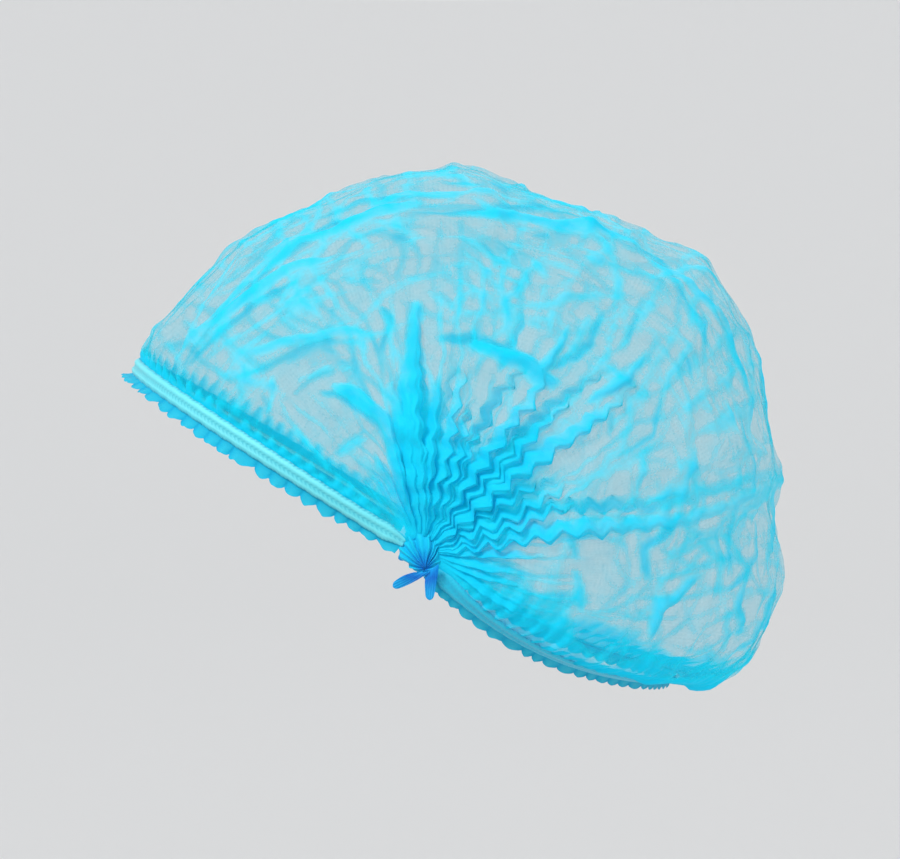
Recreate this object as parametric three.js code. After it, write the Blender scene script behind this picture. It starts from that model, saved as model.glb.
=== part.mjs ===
// A disposable hairnet in the shape that it has on a head: a pleated non-woven crown drawn together
// at a gather above each ear, a flat elastic across the forehead and another round the nape, and a
// fluted hem outside each elastic. The cloth is drawn thicker than the real film of fibres.
// Millimetres. +Z is up, the wearer faces -Y, and +X is the wearer's left.
// The origin is midway between the two gathers, in the opening that the head goes through.
import * as THREE from "three";

// Main sizes
const gatherHalfSpan = 72; // from the origin to either gather
const crownHalfWidth = 80; // the puffed crown at its widest, from the middle
const crownRise = 112; // from the line of the gathers to the top of the crown
const rearReach = 108; // from the line of the gathers to the back of the crown
const foreheadReach = 100; // from the line of the gathers to the forehead elastic
const napeReach = 87; // from the line of the gathers to the nape elastic
const foreheadClimb = 31.6; // degrees that the forehead elastic climbs towards the front
const napeDrop = 27.5; // degrees that the nape elastic drops towards the back
const earDip = 24; // degrees more that it drops where it leaves the gather, behind the ear
const squareness = 2.3; // exponent of the crown's outline from ear to ear: 2 is an ellipse

// Cloth and elastic
const clothWall = 1.4;
const elasticWidth = 5;
const elasticRib = 1.1; // thickness of the elastic at its two ribs
const elasticGroove = 0.8; // and along the stitched groove between them
const seatGap = 0.3; // clearance between pieces that lie on each other
const casingMargin = 0.5; // flat cloth left beside the elastic before the puckers begin

// Gathers and their welded ends
const gatherRadius = 7;
const gatherFlutes = 14;
const gatherFluteDepth = 0.8;
const gatherInside = 3; // how far the bundle reaches in towards the head
const gatherOutside = 5; // and how far it stands out
const dimpleReach = 20; // how far from the gather the crown takes to puff out
const tabLength = 9.5;
const tabRootWidth = 4.2;
const tabTipWidth = 1.6;
const tabThickness = 1.6;
const tabThinning = 0.35; // share of its thickness that a tail has lost at its tip
const tabStandoff = 2.1; // the tabs lie this far outside the cloth round the gather

// Pleats, puckers and hems
const pleatHeight = 3.4;
const pleatFade = 0.62; // share of the way to the middle where an average pleat has died out
const puckerHeight = 0.9;
const puckerReach = 9; // how far the puckers run up the crown from an elastic
const puckerStart = 0.15; // share of the way to the middle where the puckers begin
const puckerFull = 0.5; // and where they have their full height
const frontHemDepth = 5; // in the middle of the forehead
const backHemDepth = 4.8; // in the middle of the nape
const hemDepthAtGather = 4.4;
const hemBelly = 2.2; // how much deeper a hem is halfway to the middle
const hemFlare = 3.4; // how far the hem's edge stands out from the head in the middle
const hemFlute = 1.4; // height of the hem's flutes in the middle
const fluteAtGather = 0.5; // and its share at the gathers
const frontHemFlutes = 42;
const backHemFlutes = 38;

// Facets
const columnsPerPleat = 4;
const stations = 36; // of the crown and the elastics, from one gather to the other

// The crown's outline in the middle plane, from the forehead elastic over the top to the nape.
// sweep is the share of the turn about the line of the gathers, reach a share of the size in follows.
const outline = [
  { place: "forehead elastic", sweep: 0.0, reach: 1.0, follows: foreheadReach },
  { place: "brow", sweep: 0.04, reach: 1.02, follows: foreheadReach },
  { place: "front slope", sweep: 0.104, reach: 1.04, follows: foreheadReach },
  { place: "hollow above the slope", sweep: 0.188, reach: 1.05, follows: foreheadReach },
  { place: "under the top fold", sweep: 0.225, reach: 0.942, follows: crownRise },
  { place: "front of the top fold", sweep: 0.277, reach: 0.972, follows: crownRise },
  { place: "top fold rises", sweep: 0.32, reach: 0.99, follows: crownRise },
  { place: "top", sweep: 0.377, reach: 1.0, follows: crownRise },
  { place: "behind the top fold", sweep: 0.412, reach: 0.973, follows: crownRise },
  { place: "rear slope", sweep: 0.475, reach: 0.977, follows: crownRise },
  { place: "upper back", sweep: 0.534, reach: 1.006, follows: crownRise },
  { place: "back shoulder", sweep: 0.58, reach: 1.086, follows: rearReach },
  { place: "under the shoulder", sweep: 0.651, reach: 1.07, follows: rearReach },
  { place: "back bulge", sweep: 0.688, reach: 1.053, follows: rearReach },
  { place: "below the bulge", sweep: 0.73, reach: 1.02, follows: rearReach },
  { place: "long pleat meets the back", sweep: 0.787, reach: 1.004, follows: rearReach },
  { place: "nick under the long pleat", sweep: 0.811, reach: 0.976, follows: rearReach },
  { place: "lower bulge", sweep: 0.873, reach: 0.997, follows: rearReach },
  { place: "lower bulge turns in", sweep: 0.928, reach: 0.982, follows: rearReach },
  { place: "tuck above the nape", sweep: 0.975, reach: 1.15, follows: napeReach },
  { place: "nape elastic", sweep: 1.0, reach: 1.0, follows: napeReach },
];

// How far the crown has puffed out beyond the width of the gathers, as a share of the full puff.
const puff = [
  { sweep: 0.0, share: 0.0 },
  { sweep: 0.08, share: 0.45 },
  { sweep: 0.25, share: 0.85 },
  { sweep: 0.5, share: 1.0 },
  { sweep: 0.8, share: 0.95 },
  { sweep: 0.93, share: 0.6 },
  { sweep: 1.0, share: 0.05 },
];

// The pleats that run out of a gather, in order from the forehead to the nape.
// height is a share of pleatHeight, fade a share of pleatFade.
const pleats = [
  { run: "forehead", height: 0.45, fade: 0.6 },
  { run: "temple", height: 0.7, fade: 0.8 },
  { run: "temple, rear", height: 0.75, fade: 0.9 },
  { run: "thick upright bundle", height: 1.0, fade: 1.15 },
  { run: "beside the bundle", height: 0.7, fade: 0.8 },
  { run: "upper crimped", height: 0.9, fade: 1.1 },
  { run: "middle crimped", height: 0.95, fade: 1.25 },
  { run: "between the crimped ones", height: 0.55, fade: 0.8 },
  { run: "above the long one", height: 0.6, fade: 0.9 },
  { run: "long, to the back", height: 1.0, fade: 1.6 },
  { run: "behind the ear", height: 0.6, fade: 1.0 },
  { run: "nape", height: 0.5, fade: 0.9 },
];

// Broad dents and bulges of the slack cloth. sweep and across place their middle, across from the
// left gather to the right one. depth is a share of the full puff, and a bulge is negative.
const dents = [
  { sweep: 0.14, across: 0.36, depth: 0.26, sweepSpan: 0.07, acrossSpan: 0.07 },
  { sweep: 0.22, across: 0.22, depth: -0.3, sweepSpan: 0.09, acrossSpan: 0.08 },
  { sweep: 0.36, across: 0.34, depth: 0.34, sweepSpan: 0.06, acrossSpan: 0.09 },
  { sweep: 0.47, across: 0.2, depth: -0.3, sweepSpan: 0.08, acrossSpan: 0.07 },
  { sweep: 0.56, across: 0.36, depth: 0.4, sweepSpan: 0.06, acrossSpan: 0.08 },
  { sweep: 0.7, across: 0.26, depth: 0.36, sweepSpan: 0.05, acrossSpan: 0.09 },
  { sweep: 0.84, across: 0.3, depth: 0.42, sweepSpan: 0.04, acrossSpan: 0.08 },
  { sweep: 0.12, across: 0.66, depth: 0.28, sweepSpan: 0.07, acrossSpan: 0.08 },
  { sweep: 0.27, across: 0.78, depth: -0.28, sweepSpan: 0.08, acrossSpan: 0.08 },
  { sweep: 0.4, across: 0.64, depth: 0.32, sweepSpan: 0.06, acrossSpan: 0.08 },
  { sweep: 0.52, across: 0.79, depth: -0.3, sweepSpan: 0.08, acrossSpan: 0.07 },
  { sweep: 0.63, across: 0.65, depth: 0.38, sweepSpan: 0.06, acrossSpan: 0.08 },
  { sweep: 0.8, across: 0.72, depth: 0.4, sweepSpan: 0.04, acrossSpan: 0.09 },
];

// Rings of the gathered bundle, from inside the cap outwards.
// out is a share of gatherInside where negative and of gatherOutside where positive.
const bundleRings = [
  { out: -1.0, radius: 0.5 },
  { out: -0.55, radius: 0.92 },
  { out: 0.0, radius: 1.0 },
  { out: 0.76, radius: 1.0 },
  { out: 0.93, radius: 0.8 },
  { out: 1.0, radius: 0.42 },
];

// The two tails that a gather's weld leaves, seen from the wearer's left: root is where a tail leaves
// the bundle and lean is where it points, with 0 degrees to the back and 90 up.
const tabs = [
  { tail: "front", root: 266, lean: 208, length: 1.0 },
  { tail: "rear", root: 302, lean: 268, length: 0.85 },
];

// The two edges of the head opening.
const edges = [
  { name: "front", sweep: 0, depth: frontHemDepth, flutes: frontHemFlutes },
  { name: "back", sweep: 1, depth: backHemDepth, flutes: backHemFlutes },
];

const foreheadAngle = THREE.MathUtils.degToRad(180 - foreheadClimb);
const napeAngle = THREE.MathUtils.degToRad(-napeDrop);
const earDipAngle = THREE.MathUtils.degToRad(earDip);
const casing = elasticWidth / 2 + casingMargin;
const crownEdgeRadius = gatherRadius + seatGap;
const fullPuff = crownHalfWidth - gatherHalfSpan;
const pleatCount = pleats.length;
const smallStep = 1e-3;

// A smooth curve through a table: between two rows it is a cubic with the rows' own slopes.
function alongTable(rows, x, value) {
  const last = rows.length - 1;
  const clamped = THREE.MathUtils.clamp(x, rows[0].sweep, rows[last].sweep);
  let k = 0;
  while (k < last - 1 && rows[k + 1].sweep < clamped) k++;
  const slopeAt = (i) => {
    const before = rows[Math.max(i - 1, 0)];
    const after = rows[Math.min(i + 1, last)];
    return (value(after) - value(before)) / (after.sweep - before.sweep);
  };
  const width = rows[k + 1].sweep - rows[k].sweep;
  const s = (clamped - rows[k].sweep) / width;
  const rise = 3 * s * s - 2 * s * s * s;
  const leave = s * (1 - s) * (1 - s) * slopeAt(k) * width;
  const arrive = s * s * (1 - s) * slopeAt(k + 1) * width;
  return value(rows[k]) * (1 - rise) + value(rows[k + 1]) * rise + leave - arrive;
}

const outlineReach = (sweep) => alongTable(outline, sweep, (row) => row.reach * row.follows);
const puffShare = (sweep) => alongTable(puff, sweep, (row) => row.share);

// The turn about the line of the gathers where the cloth meets the nape elastic, at a share of its reach.
const napeAngleAt = (share) => napeAngle - earDipAngle * (1 - share);

// The half turn angle at which the sheet reaches a distance from the line of the gathers.
function startAngle(sweep, distance) {
  return Math.asin(Math.pow(distance / outlineReach(sweep), squareness / 2));
}

// How far from the line of the gathers the sheet is: 0 at a gather, 1 in the middle plane.
const reachShare = (turn) => Math.pow(Math.sin(turn), 2 / squareness);

// A point of the smooth crown. sweep runs from the forehead elastic (0) to the nape elastic (1),
// turn from the left gather (0) over the middle plane to the right gather (pi).
function smoothPoint(sweep, turn) {
  const share = reachShare(turn);
  const distance = outlineReach(sweep) * share;
  const angle = foreheadAngle + (napeAngleAt(share) - foreheadAngle) * sweep;
  const puffed = fullPuff * puffShare(sweep);
  const side = Math.sign(Math.cos(turn));
  const round = (gatherHalfSpan + puffed) * Math.pow(Math.abs(Math.cos(turn)), 2 / squareness);
  const dimple = puffed * Math.exp(-Math.pow(distance / dimpleReach, 2));
  return new THREE.Vector3(
    side * Math.max(round - dimple, 0),
    distance * Math.cos(angle),
    distance * Math.sin(angle),
  );
}

// The directions of the smooth crown at a point: out of it, and up it away from the forehead elastic.
function smoothDirections(sweep, turn) {
  const sweepFrom = Math.max(sweep - smallStep, 0);
  const sweepTo = Math.min(sweep + smallStep, 1);
  const up = smoothPoint(sweepTo, turn).sub(smoothPoint(sweepFrom, turn)).normalize();
  const across = smoothPoint(sweep, turn + smallStep).sub(smoothPoint(sweep, turn - smallStep));
  const out = new THREE.Vector3().crossVectors(up, across).normalize();
  const distance = outlineReach(sweep) * reachShare(turn);
  const nearGather = Math.exp(-Math.pow((distance - crownEdgeRadius) / gatherRadius, 2));
  const sideways = new THREE.Vector3(Math.sign(Math.cos(turn)), 0, 0);
  out.lerp(sideways, nearGather).normalize();
  return { up, out };
}

// The sweep that lies a distance up the crown from the forehead elastic, or from the nape elastic.
function sweepFromEdge(turn, distanceUp) {
  const share = reachShare(turn);
  const wholeTurn = foreheadAngle - napeAngleAt(share);
  return distanceUp / (crownRise * share * wholeTurn);
}

// The height of the pleats above the smooth crown, where pleated runs from 0 to 1 between the casings.
function pleatRise(pleated, turn) {
  const place = pleated * pleatCount;
  const row = pleats[Math.min(Math.floor(place), pleatCount - 1)];
  const ridge = 0.5 - 0.5 * Math.cos(2 * Math.PI * place);
  const fade = pleatFade * row.fade;
  return pleatHeight * row.height * ridge * Math.exp(-Math.pow(reachShare(turn) / fade, 2));
}

function dentDepth(sweep, across) {
  let depth = 0;
  for (const dent of dents) {
    const along = (sweep - dent.sweep) / dent.sweepSpan;
    const aside = (across - dent.across) / dent.acrossSpan;
    depth += fullPuff * dent.depth * Math.exp(-along * along - aside * aside);
  }
  return depth;
}

// A closed solid between two grids of points that correspond, with its rim filled in.
function solidBetween(outer, inner) {
  const rows = outer.length;
  const columns = outer[0].length;
  const positions = [];
  for (const grid of [outer, inner]) {
    for (const row of grid) for (const p of row) positions.push(p.x, p.y, p.z);
  }
  const index = (layer, i, j) => (layer * rows + i) * columns + j;
  const faces = [];
  const quad = (a, b, c, d) => faces.push(a, b, c, a, c, d);
  for (let i = 0; i + 1 < rows; i++) {
    for (let j = 0; j + 1 < columns; j++) {
      quad(index(0, i, j), index(0, i, j + 1), index(0, i + 1, j + 1), index(0, i + 1, j));
      quad(index(1, i, j), index(1, i + 1, j), index(1, i + 1, j + 1), index(1, i, j + 1));
    }
  }
  for (let j = 0; j + 1 < columns; j++) {
    quad(index(0, 0, j), index(1, 0, j), index(1, 0, j + 1), index(0, 0, j + 1));
    const last = rows - 1;
    quad(index(0, last, j), index(0, last, j + 1), index(1, last, j + 1), index(1, last, j));
  }
  for (let i = 0; i + 1 < rows; i++) {
    quad(index(0, i, 0), index(0, i + 1, 0), index(1, i + 1, 0), index(1, i, 0));
    const last = columns - 1;
    quad(index(0, i, last), index(1, i, last), index(1, i + 1, last), index(0, i + 1, last));
  }
  return facingOut(positions, faces);
}

// A geometry from points and triangles, turned round where its faces would point inwards.
function facingOut(positions, faces) {
  const corner = (k) => new THREE.Vector3().fromArray(positions, 3 * faces[k]);
  let volume = 0;
  for (let k = 0; k < faces.length; k += 3) {
    volume += corner(k).dot(corner(k + 1).cross(corner(k + 2)));
  }
  if (volume < 0) {
    for (let k = 0; k < faces.length; k += 3) [faces[k], faces[k + 1]] = [faces[k + 1], faces[k]];
  }
  const geometry = new THREE.BufferGeometry();
  geometry.setAttribute("position", new THREE.Float32BufferAttribute(positions, 3));
  geometry.setIndex(faces);
  geometry.computeVertexNormals();
  return geometry;
}

// Where an elastic and its hem run: a point on the cloth's edge, out of it, and away from the crown
// square to the edge.
function edgeFrame(edge, turn) {
  const point = smoothPoint(edge.sweep, turn);
  const { up, out } = smoothDirections(edge.sweep, turn);
  const ahead = smoothPoint(edge.sweep, turn + smallStep).sub(smoothPoint(edge.sweep, turn - smallStep));
  const down = new THREE.Vector3().crossVectors(ahead, out).normalize();
  const towardsCrown = edge.sweep === 0 ? 1 : -1;
  if (down.dot(up) * towardsCrown > 0) down.negate();
  return { point, out, down };
}

// The crown: flat casings beside the elastics, and pleats, puckers and dents between them.
function crownGeometry() {
  const pleatColumns = pleatCount * columnsPerPleat;
  const outer = [];
  const inner = [];
  for (let j = 0; j <= stations; j++) {
    const across = j / stations;
    const outerRow = [];
    const innerRow = [];
    const add = (point, out, rise) => {
      outerRow.push(point.clone().addScaledVector(out, rise));
      innerRow.push(point.clone().addScaledVector(out, rise - clothWall));
    };
    const turnAt = (sweep) => {
      const start = startAngle(sweep, crownEdgeRadius);
      return THREE.MathUtils.lerp(start, Math.PI - start, across);
    };
    const front = edgeFrame(edges[0], turnAt(0));
    add(front.point, front.out, 0);
    add(front.point.clone().addScaledVector(front.down, -casing), front.out, 0);
    for (let i = 1; i < pleatColumns; i++) {
      const pleated = i / pleatColumns;
      const turn = turnAt(pleated);
      const edge = sweepFromEdge(turn, casing);
      const sweep = THREE.MathUtils.lerp(edge, 1 - edge, pleated);
      const fromElastic = (Math.min(pleated, 1 - pleated) / edge) * casing;
      const loose = THREE.MathUtils.smoothstep(reachShare(turn), puckerStart, puckerFull);
      const pucker = puckerHeight * (j % 2 ? 1 : -1) * loose * Math.exp(-fromElastic / puckerReach);
      const rise = pleatRise(pleated, turn) + pucker - dentDepth(sweep, across);
      add(smoothPoint(sweep, turn), smoothDirections(sweep, turn).out, rise);
    }
    const back = edgeFrame(edges[1], turnAt(1));
    add(back.point.clone().addScaledVector(back.down, -casing), back.out, 0);
    add(back.point, back.out, 0);
    outer.push(outerRow);
    inner.push(innerRow);
  }
  return solidBetween(outer, inner);
}

// The columns of a strip along an edge, in the crown's own order so that their facets lie alike.
const inCrownOrder = (edge, columns) => (edge.sweep === 0 ? columns.reverse() : columns);

// The frames of an edge at the stations, from the left gather to the right one.
function edgeFrames(edge) {
  const start = startAngle(edge.sweep, crownEdgeRadius);
  const frames = [];
  for (let j = 0; j <= stations; j++) {
    frames.push(edgeFrame(edge, THREE.MathUtils.lerp(start, Math.PI - start, j / stations)));
  }
  return frames;
}

function elasticGeometry(edge) {
  const profile = inCrownOrder(edge, [
    { across: -elasticWidth / 2, thickness: elasticRib },
    { across: 0, thickness: elasticGroove },
    { across: elasticWidth / 2, thickness: elasticRib },
  ]);
  const outer = [];
  const inner = [];
  for (const { point, out, down } of edgeFrames(edge)) {
    const at = (across, height) =>
      point.clone().addScaledVector(down, across).addScaledVector(out, seatGap + height);
    outer.push(profile.map((p) => at(p.across, p.thickness)));
    inner.push(profile.map((p) => at(p.across, 0)));
  }
  return solidBetween(outer, inner);
}

// The hem: a flat strip under the elastic, then flutes that open towards the free edge.
function hemGeometry(edge) {
  const frames = edgeFrames(edge);
  const halfFlutes = edge.flutes * 2;
  const hemRows = inCrownOrder(edge, [
    { flat: 0, opened: 0 },
    { flat: 1, opened: 0 },
    { flat: 1, opened: 0.55 },
    { flat: 1, opened: 1 },
  ]);
  const outer = [];
  const inner = [];
  for (let j = 0; j <= halfFlutes; j++) {
    const place = (j / halfFlutes) * stations;
    const k = Math.min(Math.floor(place), stations - 1);
    const between = (key) => frames[k][key].clone().lerp(frames[k + 1][key], place - k);
    const [point, out, down] = [between("point"), between("out"), between("down")];
    const spread = Math.hypot(point.y, point.z) / outlineReach(edge.sweep);
    const belly = hemBelly * Math.sin(Math.PI * spread);
    const depth = THREE.MathUtils.lerp(hemDepthAtGather, edge.depth, spread) + belly;
    const flute = hemFlute * (j % 2 ? 1 : -1) * THREE.MathUtils.lerp(fluteAtGather, 1, spread);
    const outerRow = [];
    const innerRow = [];
    for (const row of hemRows) {
      const along = casing * row.flat + (depth - casing) * row.opened;
      const rise = row.opened * (hemFlare * spread + flute);
      const foot = point.clone().addScaledVector(down, seatGap + along);
      outerRow.push(foot.clone().addScaledVector(out, rise));
      innerRow.push(foot.clone().addScaledVector(out, rise - clothWall));
    }
    outer.push(outerRow);
    inner.push(innerRow);
  }
  return solidBetween(outer, inner);
}

// The bundle of pleat ends at a gather, fluted round its side.
function bundleGeometry(side) {
  const perRing = gatherFlutes * 2;
  const positions = [];
  const faces = [];
  for (const ring of bundleRings) {
    const out = ring.out * (ring.out < 0 ? gatherInside : gatherOutside);
    for (let k = 0; k < perRing; k++) {
      const angle = (2 * Math.PI * k) / perRing;
      const radius = gatherRadius * ring.radius - (k % 2) * gatherFluteDepth * ring.radius;
      const x = side * (gatherHalfSpan + out);
      positions.push(x, radius * Math.cos(angle), radius * Math.sin(angle));
    }
  }
  const last = bundleRings.length - 1;
  for (let r = 0; r < last; r++) {
    for (let k = 0; k < perRing; k++) {
      const next = (k + 1) % perRing;
      const [a, b] = [r * perRing + k, r * perRing + next];
      faces.push(a, b, b + perRing, a, b + perRing, a + perRing);
    }
  }
  const inCentre = positions.length / 3;
  positions.push(side * (gatherHalfSpan - gatherInside), 0, 0);
  positions.push(side * (gatherHalfSpan + gatherOutside), 0, 0);
  for (let k = 0; k < perRing; k++) {
    const next = (k + 1) % perRing;
    faces.push(inCentre, next, k);
    faces.push(inCentre + 1, last * perRing + k, last * perRing + next);
  }
  return facingOut(positions, faces);
}

// One tail of a weld: a flat tongue that narrows and curls a little away from the head.
function tabGeometry(side, tab) {
  const [root, lean] = [tab.root, tab.lean].map(THREE.MathUtils.degToRad);
  const along = new THREE.Vector3(0, Math.cos(lean), Math.sin(lean));
  const roundBundle = new THREE.Vector3(0, -Math.sin(root), Math.cos(root));
  const acrossTail = new THREE.Vector3(0, -Math.sin(lean), Math.cos(lean));
  const start = new THREE.Vector3(0, Math.cos(root), Math.sin(root)).multiplyScalar(crownEdgeRadius);
  const outer = [];
  const inner = [];
  for (const share of [0, 0.5, 1]) {
    const halfWidth = THREE.MathUtils.lerp(tabRootWidth, tabTipWidth, share) / 2;
    const foot = gatherHalfSpan + tabStandoff + tabThickness * share * share;
    const thickness = tabThickness * (1 - tabThinning * share);
    const aside = roundBundle.clone().lerp(acrossTail, share).normalize();
    const centre = start.clone().addScaledVector(along, tabLength * tab.length * share);
    const at = (x, width) => new THREE.Vector3(side * x, 0, 0).add(centre).addScaledVector(aside, width);
    outer.push([-halfWidth, 0, halfWidth].map((w) => at(foot + thickness, w)));
    inner.push([-halfWidth, 0, halfWidth].map((w) => at(foot, w)));
  }
  return solidBetween(outer, inner);
}

const sheerCloth = new THREE.MeshStandardMaterial({
  color: 0x5fd4f2,
  roughness: 0.75,
  metalness: 0,
  transparent: true,
  opacity: 0.6,
});
const gatheredCloth = new THREE.MeshStandardMaterial({ color: 0x00c4ee, roughness: 0.75, metalness: 0 });
const elasticBraid = new THREE.MeshStandardMaterial({ color: 0x7af4fb, roughness: 0.45, metalness: 0 });
const weldedCloth = new THREE.MeshStandardMaterial({ color: 0x0078cc, roughness: 0.4, metalness: 0 });

const hairnet = new THREE.Group();
hairnet.name = "hairnet";

function addPiece(name, geometry, material) {
  const mesh = new THREE.Mesh(geometry, material);
  mesh.name = name;
  hairnet.add(mesh);
}

addPiece("crown", crownGeometry(), sheerCloth);
for (const edge of edges) {
  addPiece(edge.name + "_elastic", elasticGeometry(edge), elasticBraid);
  addPiece(edge.name + "_hem", hemGeometry(edge), gatheredCloth);
}
for (const [sideName, side] of [["left", 1], ["right", -1]]) {
  addPiece(sideName + "_gather", bundleGeometry(side), gatheredCloth);
  for (const tab of tabs) {
    addPiece(sideName + "_weld_tab_" + tab.tail, tabGeometry(side, tab), weldedCloth);
  }
}

export default hairnet;
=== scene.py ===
"""The looks of the disposable hairnet: a pleated spunbond cap in its worn shape."""
import math

import bmesh
import bpy
import numpy as np
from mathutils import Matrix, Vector


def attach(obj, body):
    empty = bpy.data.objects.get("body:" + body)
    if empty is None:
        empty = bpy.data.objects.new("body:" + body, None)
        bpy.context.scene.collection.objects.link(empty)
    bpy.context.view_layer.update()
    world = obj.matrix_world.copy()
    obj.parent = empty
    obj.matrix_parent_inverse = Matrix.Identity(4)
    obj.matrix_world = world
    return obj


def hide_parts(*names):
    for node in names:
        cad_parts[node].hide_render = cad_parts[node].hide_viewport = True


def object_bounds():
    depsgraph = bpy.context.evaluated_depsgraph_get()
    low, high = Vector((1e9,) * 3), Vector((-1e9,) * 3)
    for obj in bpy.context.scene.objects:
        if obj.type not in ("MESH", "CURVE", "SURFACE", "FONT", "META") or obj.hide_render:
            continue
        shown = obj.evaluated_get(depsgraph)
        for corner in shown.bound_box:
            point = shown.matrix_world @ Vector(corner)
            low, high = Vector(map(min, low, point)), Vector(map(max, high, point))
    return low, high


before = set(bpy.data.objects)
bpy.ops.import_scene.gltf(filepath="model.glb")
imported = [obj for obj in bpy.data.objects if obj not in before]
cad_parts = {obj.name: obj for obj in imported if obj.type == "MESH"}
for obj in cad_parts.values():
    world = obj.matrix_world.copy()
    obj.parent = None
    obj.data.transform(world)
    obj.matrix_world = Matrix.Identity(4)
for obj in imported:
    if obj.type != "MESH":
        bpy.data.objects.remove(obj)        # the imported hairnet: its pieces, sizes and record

cad_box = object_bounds()
MM = 0.001  # the sizes below are in millimetres

# Main sizes, as in the part's source. The line of the gathers runs along X through the origin.
GATHER_HALF_SPAN = 72.0
CROWN_HALF_WIDTH = 80.0
CROWN_RISE = 112.0
REAR_REACH = 108.0
FOREHEAD_REACH = 100.0
NAPE_REACH = 87.0
FOREHEAD_ANGLE = math.radians(180 - 31.6)  # where the forehead elastic is, turning about that line
NAPE_ANGLE = math.radians(-27.5)
GATHER_DIP = math.radians(24)  # how much lower the nape elastic leaves the gather
SQUARENESS = 2.3  # exponent of the crown's outline from gather to gather: 2 is an ellipse
FULL_PUFF = CROWN_HALF_WIDTH - GATHER_HALF_SPAN
GATHER_RADIUS = 7.0
DIMPLE_REACH = 20.0  # how far from a gather the crown is drawn in
SEAT_GAP = 0.3  # between the cloth and the elastic on it
ELASTIC_WIDTH = 5.0
CAP_MIDDLE = np.array([0.0, 10.0, 20.0])

# The crown's outline in the middle plane: the share of the turn from the forehead elastic to the nape
# elastic, and the reach from the line of the gathers as a share of the size named last.
OUTLINE = [
    (0.0, 1.0, FOREHEAD_REACH),
    (0.04, 1.02, FOREHEAD_REACH),
    (0.104, 1.04, FOREHEAD_REACH),
    (0.188, 1.05, FOREHEAD_REACH),
    (0.225, 0.942, CROWN_RISE),
    (0.277, 0.972, CROWN_RISE),
    (0.32, 0.99, CROWN_RISE),
    (0.377, 1.0, CROWN_RISE),
    (0.412, 0.973, CROWN_RISE),
    (0.475, 0.977, CROWN_RISE),
    (0.534, 1.006, CROWN_RISE),
    (0.58, 1.086, REAR_REACH),
    (0.651, 1.07, REAR_REACH),
    (0.688, 1.053, REAR_REACH),
    (0.73, 1.02, REAR_REACH),
    (0.787, 1.004, REAR_REACH),
    (0.811, 0.976, REAR_REACH),
    (0.873, 0.997, REAR_REACH),
    (0.928, 0.982, REAR_REACH),
    (0.975, 1.15, NAPE_REACH),
    (1.0, 1.0, NAPE_REACH),
]
# How far the crown puffs out beyond the gathers, as a share of the full puff.
PUFF = [(0.0, 0.0), (0.08, 0.45), (0.25, 0.85), (0.5, 1.0), (0.8, 0.95), (0.93, 0.6), (1.0, 0.05)]

# The pleats that run out of a gather: the angle in degrees about it, with 0 to the back and 90 up, and
# in millimetres the width of the folded cloth, its height over the crown, and its length.
PLEATS = [
    (142, 1.6, 1.0, 22),
    (132, 1.8, 1.2, 25),
    (122, 2.2, 1.4, 28),
    (113, 3.0, 2.0, 32),
    (106, 4.8, 2.8, 42),
    (99, 6.4, 3.4, 50),
    (92, 7.4, 4.0, 72),
    (85, 5.4, 3.2, 48),
    (78, 3.0, 2.4, 54),
    (71, 3.0, 2.6, 44),
    (64, 2.8, 2.4, 38),
    (57, 4.0, 3.2, 66),
    (50.5, 3.0, 2.6, 44),
    (45, 3.2, 2.4, 64),
    (39.5, 4.4, 3.4, 80),
    (33, 3.0, 2.6, 40),
    (25, 3.2, 2.4, 46),
    (17, 3.2, 2.6, 46),
    (8.5, 4.2, 3.0, 132),
    (0, 2.4, 2.0, 36),
    (-10, 2.2, 1.6, 30),
    (-20, 2.0, 1.5, 32),
    (-31, 2.2, 1.6, 34),
    (-42, 1.8, 1.4, 28),
]
# How far from the gather the pleats lie packed on each other: angle in degrees, and millimetres.
PACKED = [
    (-180, 6), (-60, 9), (-40, 16), (-15, 20), (0, 27), (14, 38), (33, 36), (38, 46), (42, 58),
    (46, 46), (51, 36), (64, 32), (75, 33), (84, 38), (92, 47), (99, 42), (105, 35), (111, 21),
    (119, 13), (132, 10), (180, 6),
]

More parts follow.
